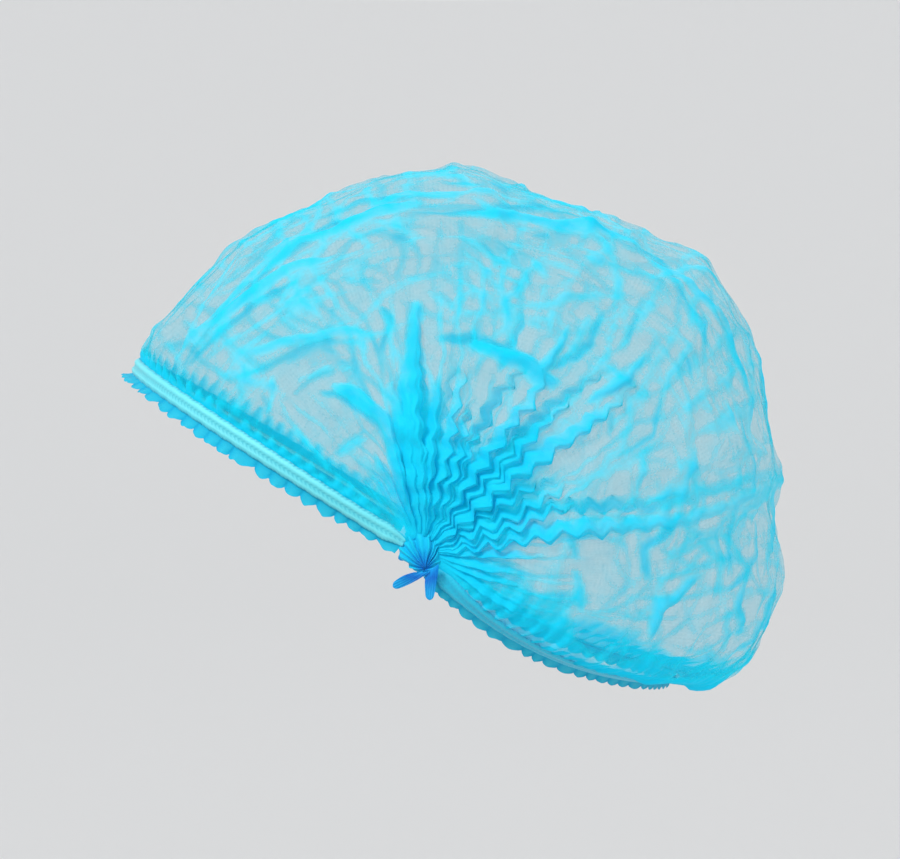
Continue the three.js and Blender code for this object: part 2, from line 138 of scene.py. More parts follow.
# Single folds of the slack cloth: the width of the folded cloth, its height over the crown, and the
# points (back, up) from the gather that it passes, as seen from the side.
FOLDS = [
    (3.6, 1.6, [(-68, 60), (-54, 70), (-39, 80), (-22, 86)]),
    (2.6, 1.3, [(-54, 55), (-39, 59), (-22, 63), (-8, 62)]),
    (1.6, 0.9, [(-36, 48), (-27, 52), (-18, 53)]),
    (3.4, 2.0, [(-27, 48), (-18, 45), (-11, 38), (-8, 33)]),
    (1.9, 1.1, [(-25, 26), (-19, 31), (-13, 34)]),
    (1.6, 0.9, [(-14, 16), (-7, 18)]),
    (1.5, 0.9, [(-44, 38), (-42, 47), (-43, 51)]),
    (1.5, 0.8, [(-50, 54), (-49, 48)]),
    (4.2, 2.4, [(12, 60), (20, 57), (28, 54), (34, 51), (41, 47)]),
    (3.0, 1.8, [(30, 43), (34, 51), (38, 57), (43, 66)]),
    (1.5, 0.8, [(36, 71), (37, 60)]),
    (3.2, 1.8, [(46, 43), (53, 46), (60, 50), (67, 59)]),
    (1.5, 0.8, [(21, 63), (22, 71), (25, 84), (26, 88)]),
    (1.5, 0.7, [(16, 73), (20, 67)]),
    (2.2, 1.0, [(31, 86), (35, 79), (41, 78)]),
    (2.4, 1.0, [(47, 84), (53, 83)]),
    (2.6, 1.6, [(-5, 55), (0, 67), (-3, 72)]),
    (5.0, 1.6, [(6, 97), (28, 96), (46, 93), (57, 90), (67, 86)]),
    (4.0, 1.4, [(-50, 76), (-34, 89), (-14, 98), (2, 101)]),
    (2.0, 1.2, [(64, 30), (62, 16)]),
    (2.2, 1.3, [(81, 33), (76, 19), (63, 12)]),
    (1.8, 1.0, [(89, 45), (91, 33)]),
    (1.8, 1.0, [(80, 63), (69, 44)]),
    (2.4, 1.3, [(44, -3), (46, -18)]),
    (3.4, 2.0, [(83, -6), (68, -16), (65, -27)]),
    (2.4, 1.4, [(96, -6), (92, -16), (91, -29)]),
    (2.4, 1.4, [(102, -10), (100, -22), (88, -33)]),
    (3.0, 1.4, [(97, 66), (101, 50), (103, 38), (106, 26)]),
    (1.8, 1.0, [(84, 8), (88, -4), (84, -16)]),
    (2.0, 1.2, [(92, 74), (78, 82), (64, 78)]),
    (3.4, 1.2, [(58, 90), (76, 79), (89, 65), (95, 50), (98, 40)]),
    (2.8, 1.1, [(-20, 99), (-4, 104), (12, 103), (30, 101)]),
    (2.6, 1.0, [(18, 106), (40, 100), (58, 95)]),
    (3.0, 1.2, [(102, 24), (103, 6), (100, -10)]),
    (2.4, 1.0, [(-72, 52), (-62, 66), (-48, 80), (-38, 88)]),
]


def linear(hex_colour):
    """An sRGB hex value as linear red, green, blue and alpha."""
    shares = [int(hex_colour[i : i + 2], 16) / 255 for i in (1, 3, 5)]
    return tuple(s / 12.92 if s <= 0.04045 else ((s + 0.055) / 1.055) ** 2.4 for s in shares) + (1.0,)


def smoothstep(start, end, x):
    """0 before start, 1 after end, and smooth between them; start may be the larger."""
    s = np.clip((x - start) / (end - start), 0, 1)
    return s * s * (3 - 2 * s)


def noise(points, period, seed):
    """Smooth noise from about -1 to 1 with one bump in each period, at points in space."""
    drawn = np.random.default_rng(seed)
    order = np.tile(drawn.permutation(256), 2)
    slopes = drawn.normal(size=(256, 3))
    slopes /= np.linalg.norm(slopes, axis=1, keepdims=True)
    place = points / period + 97.3
    cell = np.floor(place).astype(int)
    within = place - cell
    fade = within ** 3 * (within * (within * 6 - 15) + 10)
    total = np.zeros(points.shape[:-1])
    for corner in np.ndindex(2, 2, 2):
        x, y, z = np.moveaxis((cell + corner) & 255, -1, 0)
        slope = slopes[order[order[order[x] + y] + z]]
        weight = np.prod(np.where(np.array(corner) == 1, fade, 1 - fade), axis=-1)
        total += weight * np.sum(slope * (within - corner), axis=-1)
    return total * 1.6


def creases(points, period, seed, sharpness=2.5):
    """Wandering ridges from 0 to 1, where smooth noise passes through zero."""
    wander = np.stack([noise(points, period * 1.3, seed + k) for k in (1, 2, 3)], -1)
    bent = points + 0.35 * period * wander
    return np.clip(1 - np.abs(noise(bent, period, seed)) * 2.2, 0, 1) ** sharpness


def zigzag(x):
    """A wave from -1 to 1 with straight sides and a period of 1."""
    return 1 - 4 * np.abs((x % 1) - 0.5)


def along_table(rows, x):
    """A smooth curve through a table: between two rows it is a cubic with the rows' own slopes."""
    places = np.array([row[0] for row in rows])
    values = np.array([row[1] * (row[2] if len(row) > 2 else 1) for row in rows])
    last = len(rows) - 1
    before, after = np.maximum(np.arange(last + 1) - 1, 0), np.minimum(np.arange(last + 1) + 1, last)
    slopes = (values[after] - values[before]) / (places[after] - places[before])
    k = np.clip(np.searchsorted(places, x) - 1, 0, last - 1)
    width = places[k + 1] - places[k]
    s = (x - places[k]) / width
    rise = s * s * (3 - 2 * s)
    leave, arrive = s * (1 - s) ** 2 * slopes[k] * width, s * s * (1 - s) * slopes[k + 1] * width
    return values[k] * (1 - rise) + values[k + 1] * rise + leave - arrive


def smooth_crown(sweep, turn):
    """Points of the crown without its folds, by the same rule as the part's source."""
    reach = along_table(OUTLINE, sweep)
    share = np.sin(turn) ** (2 / SQUARENESS)
    nape = NAPE_ANGLE - GATHER_DIP * (1 - share)
    angle = FOREHEAD_ANGLE + (nape - FOREHEAD_ANGLE) * sweep
    distance = reach * share
    puffed = FULL_PUFF * along_table(PUFF, sweep)
    round_half = (GATHER_HALF_SPAN + puffed) * np.abs(np.cos(turn)) ** (2 / SQUARENESS)
    dimple = puffed * np.exp(-((distance / DIMPLE_REACH) ** 2))
    across = np.sign(np.cos(turn)) * np.maximum(round_half - dimple, 0)
    return np.stack([across, distance * np.cos(angle), distance * np.sin(angle)], -1)


def turn_between(sweep, across, nearest):
    """The turn at a share of the way from the left gather to the right one, from a distance to each."""
    start = np.arcsin((nearest / along_table(OUTLINE, sweep)) ** (SQUARENESS / 2))
    return start + (math.pi - 2 * start) * across


def unit(vectors):
    """The same directions, each 1 long."""
    return vectors / np.maximum(np.linalg.norm(vectors, axis=-1, keepdims=True), 1e-9)


def facing_out(along, up, points):
    """The directions square to a sheet, on the outer side of the cap."""
    out = unit(np.cross(along, up))
    return out * np.sign(np.sum(out * (points - CAP_MIDDLE), axis=-1, keepdims=True))


def lean_sideways(out, points, distance):
    """Turns those directions straight to the side near a gather, where the crown is a flat fan."""
    near = np.exp(-(((distance - GATHER_RADIUS) / GATHER_RADIUS) ** 2))[..., None]
    sideways = np.zeros_like(out)
    sideways[..., 0] = np.sign(points[..., 0])
    return unit(out * (1 - near) + sideways * near)


def make_piece(name, points, faces, materials, attributes=None, smooth=True):
    """An object from points in millimetres, with a number or direction for each point as attributes."""
    mesh = bpy.data.meshes.new(name)
    mesh.from_pydata((points.reshape(-1, 3) * MM).tolist(), [], faces.tolist())
    for key, values in (attributes or {}).items():
        directed = values.shape[-1] == 3 and values.ndim == points.ndim
        layer = mesh.attributes.new(key, "FLOAT_VECTOR" if directed else "FLOAT", "POINT")
        layer.data.foreach_set("vector" if directed else "value", values.astype(np.float32).ravel())
    mesh.polygons.foreach_set("use_smooth", [smooth] * len(mesh.polygons))
    for material in materials:
        mesh.materials.append(material)
    piece = bpy.data.objects.new(name, mesh)
    bpy.context.scene.collection.objects.link(piece)
    return piece


def sheet_faces(rows, columns, round_rows=False, round_columns=False):
    """The four-cornered faces of a grid of points, closed round where asked."""
    index = np.arange(rows * columns).reshape(rows, columns)
    if round_rows:
        index = np.vstack([index, index[:1]])
    if round_columns:
        index = np.hstack([index, index[:, :1]])
    return np.stack([index[:-1, :-1], index[1:, :-1], index[1:, 1:], index[:-1, 1:]], -1).reshape(-1, 4)


def end_rings(rows, columns):
    """The numbers of the points in the first and last row of a grid."""
    return np.arange(columns), (rows - 1) * columns + np.arange(columns)


def close_ends(piece, rings):
    """Fills the open rings of points at the ends of a tube."""
    shape = bmesh.new()
    shape.from_mesh(piece.data)
    shape.verts.ensure_lookup_table()
    for ring in rings:
        shape.faces.new([shape.verts[i] for i in ring])
    bmesh.ops.recalc_face_normals(shape, faces=shape.faces)
    shape.to_mesh(piece.data)
    shape.free()


def merge_poles(piece):
    """Joins the points of a grid that lie on each other, such as at its poles."""
    shape = bmesh.new()
    shape.from_mesh(piece.data)
    bmesh.ops.remove_doubles(shape, verts=shape.verts, dist=1e-6)
    bmesh.ops.recalc_face_normals(shape, faces=shape.faces)
    shape.to_mesh(piece.data)
    shape.free()


def stretched_area(points, smooth):
    """How much more cloth each cell of a grid holds than the smooth surface under it."""
    def cell(p):
        return np.linalg.norm(np.cross(p[1:, :-1] - p[:-1, :-1], p[:-1, 1:] - p[:-1, :-1]), axis=-1)
    ratio = cell(points) / np.maximum(cell(smooth), 1e-6)
    return np.pad(ratio, ((0, 1), (0, 1)), mode="edge")


def softened(values, times):
    """The values of a grid, each time averaged with their neighbours."""
    for _ in range(times):
        padded = np.pad(values, 1, mode="edge")
        beside = padded[:-2, 1:-1] + padded[2:, 1:-1] + padded[1:-1, :-2] + padded[1:-1, 2:]
        values = (beside + 2 * values) / 6
    return values


# The crown
CROWN_ACROSS = 306  # cells from gather to gather
CROWN_ALONG = 322  # and from the forehead elastic to the nape elastic
CROWN_NEAREST = 4.5  # how near to the gather's middle the cloth is drawn
CRIMP_PERIOD = 6.8  # of the zigzag that is pressed into the pleats
CRIMP_SIDEWAYS = 1.5
LONGEST_OWN_PLEAT = 100  # a longer one runs round the back to the other side
FINE_PLEAT_PITCH = 1.7  # of the single pleats that lie on each other in a wide one
FRONT_PUCKER_PITCH = 4.7
FRONT_PUCKER_LENGTH = 4.4
BACK_PUCKER_PITCH = 3.9
BACK_PUCKER_LENGTH = 20.0
CHANCE_TUCKS = 330
CHANCE_TUCK_STEP = 4.2  # in cells of the crown's grid
RIGHT_SIDE_TURN = math.radians(9)  # how far the right side's folds are turned from the left side's
FOLDING_CREASE_PITCH = 12
SINGLE_CLOTH_LAYERS = 0.9
PACKED_LAYERS = 5.0


def pleat_field(angle, distance, side, points):
    """Height and extra layers of the pleats at points by angle and distance from their gather."""
    height, layers = np.zeros_like(distance), np.zeros_like(distance)
    ragged = 0.9 * noise(points, 8, 21) + 0.5 * noise(points, 3.4, 22)
    lumpy = 1 + 0.3 * noise(points, 6, 23)
    bent = 1.6 * noise(points, 10, 25)
    for k, (heading, wide, tall, length) in enumerate(PLEATS):
        own = side if length < LONGEST_OWN_PLEAT else 0
        shift = 3.0 * np.minimum(own, 0) * math.sin(2.1 * k)
        wander = 1.9 * np.sin(distance / 13 + 1.7 * k + 0.9 * own)
        aside = np.radians(angle - heading - shift - wander) * distance
        aside = aside + ragged * smoothstep(8, 24, distance)
        taper = np.clip(1 - (distance / length) ** 2.4, 0, 1)
        width = np.minimum(wide, 0.3 + 0.16 * distance) * (0.25 + 0.75 * taper) * lumpy
        round_back = np.sqrt(np.clip(1 - (2 * aside / np.maximum(width, 0.1)) ** 2, 0, 1))
        rise = tall * np.sqrt(taper) * round_back * np.minimum(1, 0.25 + distance / 24) * lumpy
        lines = 0.3 * np.cos(2 * math.pi * aside / FINE_PLEAT_PITCH + bent)
        rise = rise + lines * round_back * (rise > 0.6)
        if length > LONGEST_OWN_PLEAT:
            rise = rise * (1 - 0.5 * smoothstep(45, 90, distance)) * (0.75 + 0.4 * noise(points, 17, 24))
        height = np.maximum(height, rise)
        edge = smoothstep(width / 2 + 0.5, np.maximum(width / 2 - 0.3, 0), np.abs(aside)) * (taper > 0)
        faded = 1 - 0.2 * smoothstep(50, 95, distance)
        layers = np.maximum(layers, (1.8 + 1.2 * tall) * edge * taper ** 0.4 * faded)
    return height, layers


def small_pleats(angle, distance, side):
    """Fine pleats between the main ones: twice as many each time that the distance doubles."""
    height, layers = np.zeros_like(distance), np.zeros_like(distance)
    for k, ring in enumerate((8, 16, 32, 64)):
        share = np.clip(1 - np.abs(np.log2(np.maximum(distance, 4) / ring)), 0, 1)
        apart = 40.0 * side + 11.0 * k + 0 * distance
        fan = np.stack([np.radians(angle) * ring, distance * 0.16, apart], -1)
        wave = noise(fan, 2.3, 31 + k)
        fade = np.exp(-((distance / 42) ** 2))
        height += share * fade * 1.3 * wave
        layers += share * fade * 1.6 * smoothstep(0.0, 0.5, wave)
    return height, layers


def tuck(height, layers, points, out, route, width, rise):
    """Lays one tuck along a route of points on the crown: cloth folded flat on itself, with a sharp
    edge on one side. It raises the height and layers of the points near it."""
    low, high = route.min(axis=0) - 2 * width, route.max(axis=0) + 2 * width
    near_route = np.all((points > low) & (points < high), axis=-1)
    place, up = points[near_route], out[near_route]
    nearest = np.full(len(place), 1e9)
    aside, along = np.zeros(len(place)), np.zeros(len(place))
    for k in range(len(route) - 1):
        leg = route[k + 1] - route[k]
        share = np.clip((place - route[k]) @ leg / (leg @ leg), 0, 1)
        off = place - route[k] - share[:, None] * leg
        gap = np.linalg.norm(off, axis=-1)
        closer = gap < nearest
        handed = np.sign(np.sum(np.cross(leg, off) * up, axis=-1))
        aside = np.where(closer, gap * handed, aside)
        along = np.where(closer, (k + share) / (len(route) - 1), along)
        nearest = np.minimum(nearest, gap)
    taper = np.clip(4 * along * (1 - along), 0, 1) ** 0.9
    across = aside / (width * (0.12 + 0.88 * taper) * (1 + 0.35 * noise(place, 7, 151))) + 0.5
    edge = 0.35 / width
    sharp_side = smoothstep(1 + edge, 1 - edge, across)
    folded = smoothstep(-0.15, 0.75, across) * sharp_side * taper
    height[near_route] = np.maximum(height[near_route], rise * folded)
    held = smoothstep(-0.4, 0.45, across) * sharp_side * smoothstep(0, 0.6, taper)
    lines = 0.6 * held * np.cos(2 * math.pi * aside / 1.5 + 2.5 * noise(place, 9, 152))
    layers[near_route] = np.maximum(layers[near_route], (1.3 + 2.7 * rise) * held + lines)


def route_on_crown(points, side, places):
    """The points of the crown that a route of (back, up) passes, on the left side or the right one."""
    chosen = points.reshape(-1, 3)
    chosen = chosen[np.sign(chosen[:, 0]) == side]
    places = np.array(places, float)
    legs = np.linspace(0, len(places) - 1, 3 * len(places) - 2)
    finer = np.stack([np.interp(legs, np.arange(len(places)), places[:, k]) for k in (0, 1)], -1)
    return np.array([chosen[np.argmin(np.sum((chosen[:, 1:] - place) ** 2, -1))] for place in finer])


def creases_from_folding(points, middle_arc):
    """Height and extra layers of the creases that the cloth keeps from being packed: nearly parallel
    lines from gather to gather over the crown, broken off here and there."""
    place = middle_arc / FOLDING_CREASE_PITCH + 0.9 * noise(points, 34, 181) + 0.3 * noise(points, 11, 182)
    within = place % 1
    line = smoothstep(0, 0.06, within) * smoothstep(0.3, 0.08, within)
    kept = smoothstep(-0.3, 0.3, noise(points, 21, 183))
    return 0.9 * line * kept, 2.6 * smoothstep(0, 0.05, within) * smoothstep(0.24, 0.16, within) * kept


def slack_tucks(points, out, loose):
    """Height and extra layers of the single folds: those in the table on the left side, like ones in
    other places on the right side, and small chance ones all over."""
    wobble = np.stack([noise(points, 9, 161), noise(points, 9, 162), noise(points, 9, 163)], -1)
    bent = points + 1.1 * wobble
    rows, columns = points.shape[:2]
    height, layers = np.zeros((rows, columns)), np.zeros((rows, columns))
    turn_cos, turn_sin = math.cos(RIGHT_SIDE_TURN), math.sin(RIGHT_SIDE_TURN)
    for width, rise, places in FOLDS:
        route = route_on_crown(points, 1, places)
        tuck(height, layers, bent, out, route, width, rise)
        back, up = np.array(places, float).T
        moved = np.stack([back * turn_cos - up * turn_sin, back * turn_sin + up * turn_cos], -1)
        route = route_on_crown(points, -1, moved)
        tuck(height, layers, bent, out, route, width, rise)
    drawn = np.random.default_rng(171)
    for _ in range(CHANCE_TUCKS):
        row, column = drawn.uniform(0.16, 0.84) * rows, drawn.uniform(0.05, 0.95) * columns
        chance = drawn.uniform(0, 2 * math.pi)
        front_to_back = math.pi / 2 + 0.35 * drawn.normal()
        heading = drawn.choice([chance, front_to_back], p=[0.4, 0.6])
        bend = drawn.normal(0, 0.09)
        steps = drawn.integers(6, 20)
        width = 0.9 + 1.7 * drawn.uniform() ** 2  # most of them narrow and faint
        rise = 0.1 + 0.3 * width * drawn.uniform()
        route = []
        for _ in range(steps):
            if 2 < row < rows - 3 and 8 < column < columns - 8:
                route.append(points[int(row), int(column)])
            row = row + CHANCE_TUCK_STEP * math.cos(heading)
            column = column + CHANCE_TUCK_STEP * math.sin(heading)
            heading += bend
        if len(route) > 3:
            tuck(height, layers, bent, out, np.array(route), width, rise)
    return softened(height, 2) * loose, layers * loose


def elastic_puckers(along_edge, from_edge, pitch, longest, between, seed, points):
    """Height and extra layers of the puckers that an elastic draws up in the crown beside it. They
    are pointed, and between them lies a share of their cloth."""
    wander = noise(points, 14, seed)
    wave = zigzag(along_edge / pitch + 0.35 * wander)
    length = longest * (0.75 + 0.5 * noise(points, 9, seed + 1))
    beyond = from_edge - ELASTIC_WIDTH / 2
    reach = np.maximum(length, 0.8) * (0.5 + 0.5 * wave)
    soft = 0.4 + 0.05 * longest
    height = 1.4 * wave * smoothstep(0, 1.0, beyond) * np.exp(-np.maximum(beyond, 0) / (0.7 * longest))
    pointed = smoothstep(reach + soft, reach - soft, beyond) * (0.7 + 0.3 * wave)
    filled = smoothstep(1.05 * length, 0.5 * length, beyond) * (0.75 + 0.25 * wave)
    layers = 8.0 * ((1 - between) * pointed + between * filled) + 1.0 * smoothstep(1.5, 0, beyond)
    return height, layers


def laid_fibres(smooth):
    """Clouds about 5 mm across where the fibres were laid more thickly or thinly."""
    return 0.16 * noise(smooth, 6.0, 131) + 0.07 * noise(smooth, 2.6, 132)


def crease_places(smooth):
    """The places bent aside, so that straight-edged patches become crumpled ones, and how much the
    cloth is creased there."""
    aside = np.stack([noise(smooth, 22, 141), noise(smooth, 22, 142), noise(smooth, 22, 143)], -1)
    aside += 0.4 * np.stack([noise(smooth, 8, 144), noise(smooth, 8, 145), noise(smooth, 8, 146)], -1)
    return smooth + 6.0 * aside, smoothstep(0.0, 0.4, noise(smooth, 24, 147))


def crumpled_cloth(smooth, arc, from_left, side, loose):
    """Height and extra layers of the slack cloth between the pleats: broad waves, creases that run
    with the cloth, and those that it keeps from being packed."""
    kept, kept_layers = creases_from_folding(smooth, arc[CROWN_ACROSS // 2] + 0 * arc)
    broad = creases(smooth, 36, 71)
    flow = np.stack([from_left, 0.38 * arc, 30.0 * side], -1)
    middle = creases(flow, 13, 81, 4.0)
    small = creases(flow, 6, 91, 3.0)
    slack = noise(smooth, 46, 101)
    height = loose * softened(0.6 * kept + 2.0 * broad + 1.3 * middle + 0.2 * small + 1.8 * slack, 2)
    gathered = smoothstep(-0.25, 0.45, noise(smooth, 30, 111))
    on_ridges = 1.5 * smoothstep(0.6, 0.95, broad) + 1.7 * smoothstep(0.5, 0.95, middle)
    layers = loose * gathered * on_ridges
    layers += loose * 0.45 * smoothstep(0.5, 0.95, small) * gathered
    layers += loose * kept_layers
    return height, layers


def pressed_crimp(smooth, angle, distance):
    """The zigzag that is pressed into the pleats, from about -1 to 1, and how much there is of it."""
    crimped = smoothstep(-4, 8, angle) * (0.3 + 0.7 * smoothstep(88, 72, angle))
    crimped = crimped * smoothstep(112, 98, angle)
    crimped = crimped * smoothstep(7, 12, distance)
    crimped = crimped * smoothstep(110, 45, distance)
    uneven = noise(smooth, 16, 127)
    phase = distance / CRIMP_PERIOD + 0.15 * np.sin(np.radians(angle) * 5) + 0.22 * uneven
    return zigzag(phase) * (1 + 0.4 * uneven), crimped


def crown_shape():
    """The crown's points, the layers of cloth at each, its places without the folds, and those on
    the cut cloth."""
    across = np.linspace(0, 1, CROWN_ACROSS + 1)[:, None]
    sweep = np.linspace(0, 1, CROWN_ALONG + 1)[None, :]
    turn = turn_between(sweep, across, CROWN_NEAREST)
    smooth = smooth_crown(sweep + 0 * turn, turn)
    along, up = unit(np.gradient(smooth, axis=0)), unit(np.gradient(smooth, axis=1))
    distance = np.hypot(smooth[..., 1], smooth[..., 2])
    angle = np.degrees(np.arctan2(smooth[..., 2], smooth[..., 1]))
    side = np.sign(smooth[..., 0])
    out = lean_sideways(facing_out(along, up, smooth), smooth, distance)

    arc = np.cumsum(np.linalg.norm(np.diff(smooth, axis=1, prepend=smooth[:, :1]), axis=-1), axis=1)
    from_left = np.cumsum(np.linalg.norm(np.diff(smooth, axis=0, prepend=smooth[:1]), axis=-1), axis=0)
    from_front, from_back = arc, arc[:, -1:] - arc
    from_edge = np.minimum(from_front, from_back)
    beside = smoothstep(ELASTIC_WIDTH / 2 + 0.3, ELASTIC_WIDTH / 2 + 4, from_edge)
    loose = smoothstep(9, 26, distance)

    pleats, pleat_layers = pleat_field(angle, distance, side, smooth)
    fine, fine_layers = small_pleats(angle, distance, side)
    tucks, tuck_layers = slack_tucks(smooth, out, beside * smoothstep(8, 20, distance))
    crumpled, crumple_layers = crumpled_cloth(smooth, arc, from_left, side, loose)
    front_edge = from_left[:, :1] + 0 * from_left
    front, front_layers = elastic_puckers(
        front_edge, from_front, FRONT_PUCKER_PITCH, FRONT_PUCKER_LENGTH, 0.1, 51, smooth)
    back_edge = from_left[:, -1:] + 0 * from_left
    long_back = BACK_PUCKER_LENGTH * (0.3 + 0.7 * smoothstep(8, 34, distance))
    back, back_layers = elastic_puckers(
        back_edge, from_back, BACK_PUCKER_PITCH, long_back, 0.85, 61, smooth)

    packed_reach = np.interp(angle, *zip(*PACKED)) * (1 + 0.2 * noise(smooth, 12, 121))
    packed = smoothstep(1.15, 0.65, distance / packed_reach)
    fine = fine * (0.6 + 0.8 * packed) + 0.9 * packed * (creases(smooth, 4.2, 125, 2.0) - 0.4)

    folds = np.maximum(pleats, tucks)
    height = beside * (folds + fine + crumpled) + loose * (front + back) - 1.0 * beside
    fold_layers = np.maximum(pleat_layers, tuck_layers)
    layers = SINGLE_CLOTH_LAYERS + beside * (fold_layers + fine_layers + crumple_layers)
    layers += loose * (front_layers + back_layers) + PACKED_LAYERS * packed

    crimp, crimped = pressed_crimp(smooth, angle, distance)
    crimped = crimped * beside
    strength = np.clip(0.3 + 0.4 * pleat_layers + 0.5 * packed, 0, 1)
    lumps = 0.6 * np.sin(2 * math.pi * distance / CRIMP_PERIOD) * crimped * strength
    points = smooth + out * (height + lumps)[..., None]
    points += up * (CRIMP_SIDEWAYS * crimp * crimped * strength)[..., None]
    points += up * (0.45 * beside * folds)[..., None]
    layers += 0.3 * np.clip(stretched_area(points, smooth) - 1, 0, 3)
    cut = np.stack([from_left, arc[CROWN_ACROSS // 2] + 0 * arc, 0 * arc], -1)
    return points, softened(layers, 1) + laid_fibres(smooth), smooth, cut


def make_crown(cloth):
    """The crown: one open sheet of cloth from the forehead elastic to the nape elastic."""
    points, layers, smooth, cut = crown_shape()
    faces = sheet_faces(CROWN_ACROSS + 1, CROWN_ALONG + 1)
    patches, creased = crease_places(smooth)
    attributes = {"layers": layers, "cut": cut, "place": smooth, "patches": patches, "creased": creased}
    crown = make_piece("crown_cloth", points, faces, [cloth], attributes)
    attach(crown, "root")
    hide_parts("crown")
    return crown


# The elastics and hems
EDGE_STATIONS = 1100  # along an edge, from gather to gather
ELASTIC_AROUND = 30
HEM_ROWS = 26
RIB_HEIGHT = 1.1
GROOVE_HEIGHT = 0.45
STITCH_PITCH = 1.5  # along the stitched groove of an elastic
THREAD_PITCH = 0.9
EDGES = {
    "front": dict(sweep=0, depth=4.6, pitch=5.6, seed=201, fluted=1.0, relief=1.0),
    "back": dict(sweep=1, depth=4.0, pitch=4.9, seed=231, fluted=0.6, relief=0.55),
}
HEM_DEPTH_AT_GATHER = 4.4
HEM_BELLY = 2.4  # how much deeper the hem is halfway from the gather to the middle
HEM_FLARE = 3.2  # how far it stands out
HEM_TUCKED_UNDER = 1.2  # how far below the edge it comes out


def edge_frames(sweep, nearest, stations=EDGE_STATIONS):
    """Points along an edge of the opening, with the directions along it, out of the cloth and away
    from the crown, and the length of the edge up to each."""
    across = np.linspace(0, 1, stations + 1)
    sweeps = np.full_like(across, sweep)
    turn = turn_between(sweeps, across, nearest)
    step = 1e-3 if sweep == 0 else -1e-3
    points = smooth_crown(sweeps, turn)
    up = unit(smooth_crown(sweeps + step, turn) - points)
    along = unit(np.gradient(points, axis=0))
    distance = np.hypot(points[:, 1], points[:, 2])
    out = lean_sideways(facing_out(along, up, points), points, distance)
    down = unit(np.cross(along, out))
    down *= -np.sign(np.sum(down * up, axis=-1, keepdims=True))
    length = np.cumsum(np.linalg.norm(np.diff(points, axis=0, prepend=points[:1]), axis=-1))
    return points, along, out, down, distance, length


def make_elastic(which, braid):
    """A flat elastic with a rib along each side, stitches between them, and painted shade there and on its
    outer edges.
    """
    edge = EDGES[which]
    points, _, out, down, _, length = edge_frames(edge["sweep"], GATHER_RADIUS - 1.5)
    around = np.linspace(0, 2 * math.pi, ELASTIC_AROUND, endpoint=False)
    half = ELASTIC_WIDTH / 2
    aside = half * np.sign(np.cos(around)) * np.abs(np.cos(around)) ** 0.8
    top = np.clip(np.sin(around), 0, 1) ** 0.55
    rib = 0.5 - 0.5 * np.cos(2 * math.pi * np.clip(np.abs(aside) / half, 0, 1) ** 0.9)
    stitched = np.abs(aside)[None, :] < 0.2 * half
    stitch = 0.07 * np.abs(zigzag(length[:, None] / STITCH_PITCH + 0.9 * np.abs(aside)[None, :]))
    thread = 0.05 * np.sin(2 * math.pi * length[:, None] / THREAD_PITCH + 2 * aside[None, :])
    ribbed = (RIB_HEIGHT - GROOVE_HEIGHT) * rib[None, :] * edge["relief"]
    thickness = GROOVE_HEIGHT + ribbed + np.where(stitched, stitch, thread)
    rise = SEAT_GAP + np.where(np.sin(around) > 0, top[None, :] * thickness, 0.0)
    from_end = np.minimum(length, length[-1] - length)
    rise = rise * smoothstep(-1, 5, from_end)[:, None]
    wander = 1.5 * noise(points, 20, edge["seed"])
    squeeze = 1 + 0.04 * np.sin(2 * math.pi * length / edge["pitch"] + wander)
    end = smoothstep(0, 6, from_end)
    wide = aside[None, :] * (squeeze * (0.55 + 0.45 * end))[:, None]
    strap = points[:, None] + down[:, None] * wide[..., None] + out[:, None] * rise[..., None]
    faces = sheet_faces(EDGE_STATIONS + 1, ELASTIC_AROUND, round_columns=True)
    flat = np.stack([length[:, None] + 0 * wide, wide, 0 * wide], -1)
    beside = np.abs(aside) / ELASTIC_WIDTH * 2
    # The stitch colour's share: the stitches and painted shade in the hollow between the ribs, and painted
    # shade alone on the ribs' outer edges, where they roll away from the light.
    stitches_and_shade = (smoothstep(0.3, 0.14, beside) + 1.5 * smoothstep(0.72, 0.95, beside))[None, :] + 0 * wide
    attributes = {"cut": flat, "stitches_and_shade": stitches_and_shade}
    elastic = make_piece(which + "_elastic_strap", strap, faces, [braid], attributes)
    close_ends(elastic, end_rings(EDGE_STATIONS + 1, ELASTIC_AROUND))
    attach(elastic, "root")
    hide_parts(which + "_elastic")
    return elastic


